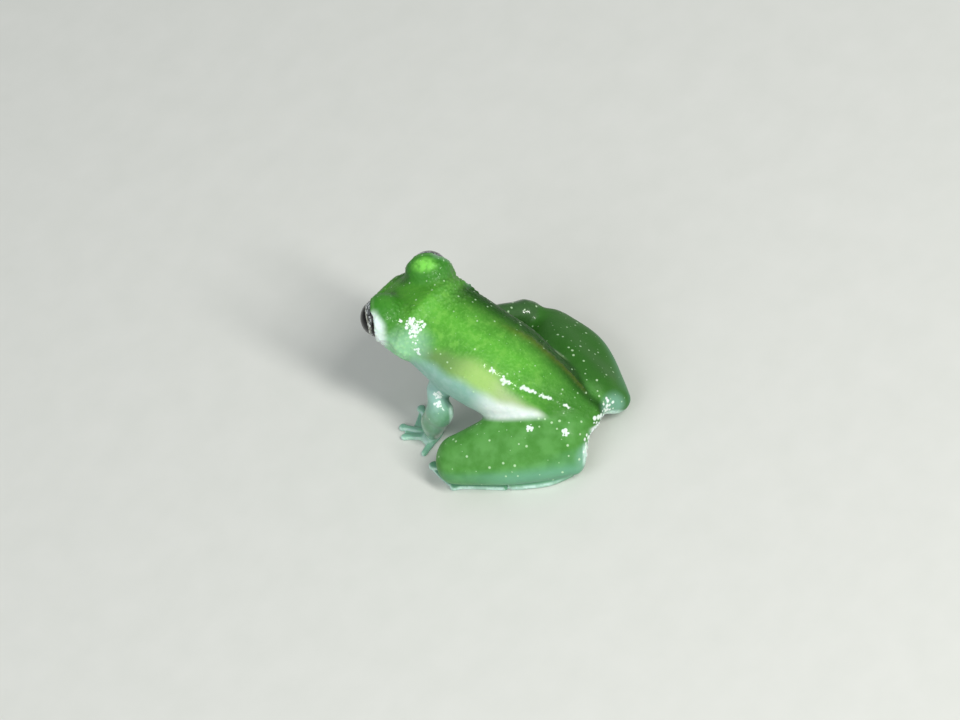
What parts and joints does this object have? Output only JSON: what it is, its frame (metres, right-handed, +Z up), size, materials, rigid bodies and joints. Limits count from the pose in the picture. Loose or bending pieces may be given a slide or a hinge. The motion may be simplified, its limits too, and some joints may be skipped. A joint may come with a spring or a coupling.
{
  "type": "glass frog",
  "caption": "Life-size still model of a glass frog squatting with its forequarters raised, legs folded and fingers spread.",
  "frame": {"origin": "on the ground, at the centre of the frog's box", "axes": "+Z up; the frog faces -Y, and its left side is +X"},
  "size_m": [0.022, 0.0241, 0.0179],
  "materials": {
    "back_skin": "moist bright green skin with fine pale granules, pale blue-white belly",
    "limb_skin": "moist translucent grey-green skin with bluish rims and pale flecks",
    "eye": "clear wet cornea over a silver iris with dark veins and a black level pupil"
  },
  "bodies": {
    "root": {"trunk": "back_skin", "head": "back_skin", "eye_left": "eye", "eye_right": "eye", "thigh_left": "limb_skin", "shank_left": "limb_skin", "foot_left": "limb_skin", "upper_arm_left": "limb_skin", "forearm_left": "limb_skin", "hand_left": "limb_skin", "thigh_right": "limb_skin", "shank_right": "limb_skin", "foot_right": "limb_skin", "upper_arm_right": "limb_skin", "forearm_right": "limb_skin", "hand_right": "limb_skin"}
  },
  "joints": []
}
